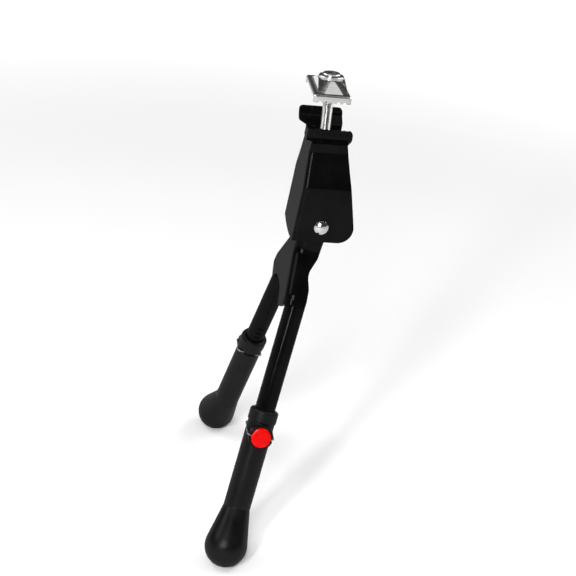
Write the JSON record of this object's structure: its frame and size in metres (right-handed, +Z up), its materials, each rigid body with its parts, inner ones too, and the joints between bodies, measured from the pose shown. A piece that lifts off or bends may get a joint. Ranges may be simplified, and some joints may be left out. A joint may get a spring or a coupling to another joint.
{
  "type": "bicycle kickstand",
  "caption": "Folding bicycle kickstand with a chainstay clamp, a folded housing, a splayed leg yoke and sliding feet with push-button locks.",
  "frame": {"origin": "on the clamp bolt's axis, at the level of the seat where the chainstays rest on the housing's lips", "axes": "+Z up along the clamp bolt, +X to the bicycle's rear, +Y to its right"},
  "size_m": [0.0972, 0.2428, 0.3681],
  "materials": {
    "black_paint": "gloss black paint on steel",
    "bright_chrome": "bright plated steel",
    "plain_steel": "zinc plated steel",
    "black_nylon": "satin moulded nylon",
    "red_plastic": "bright red moulded plastic"
  },
  "bodies": {
    "bracket": {"clamp_plate": "bright_chrome", "clamp_bolt": "bright_chrome", "cup_washer": "bright_chrome", "housing": "black_paint", "nut_plate": "plain_steel", "pivot_pin": "bright_chrome", "right_friction_washer": "black_nylon", "left_friction_washer": "black_nylon"},
    "stand": {"pivot_tube": "plain_steel", "leg_yoke": "black_paint", "right_leg": "black_paint", "left_leg": "black_paint"},
    "right_foot_body": {"right_foot": "black_nylon"},
    "left_foot_body": {"left_foot": "black_nylon"},
    "right_latch": {"right_button": "red_plastic", "right_bail": "plain_steel"},
    "left_latch": {"left_button": "red_plastic", "left_bail": "plain_steel"}
  },
  "joints": [
    {"name": "stand_fold", "type": "hinge", "parent": "bracket", "child": "stand", "pos_m": [0.0016, 0, -0.0785], "axis": [0, -1, 0], "range_deg": [0, 100]},
    {"name": "right_foot_slide", "type": "slide", "parent": "stand", "child": "right_foot_body", "axis": [0.2083, -0.2972, 0.9318], "range_m": [0, 0.03]},
    {"name": "right_button_press", "type": "slide", "parent": "right_foot_body", "child": "right_latch", "axis": [-0.0648, -0.9548, -0.2901], "range_m": [0, 0.0025], "stiffness_N_per_m": 800, "springref_m": -0.004},
    {"name": "left_foot_slide", "type": "slide", "parent": "stand", "child": "left_foot_body", "axis": [0.2083, 0.2972, 0.9318], "range_m": [0, 0.03]},
    {"name": "left_button_press", "type": "slide", "parent": "left_foot_body", "child": "left_latch", "axis": [-0.0648, 0.9548, -0.2901], "range_m": [0, 0.0025], "stiffness_N_per_m": 800, "springref_m": -0.004}
  ]
}
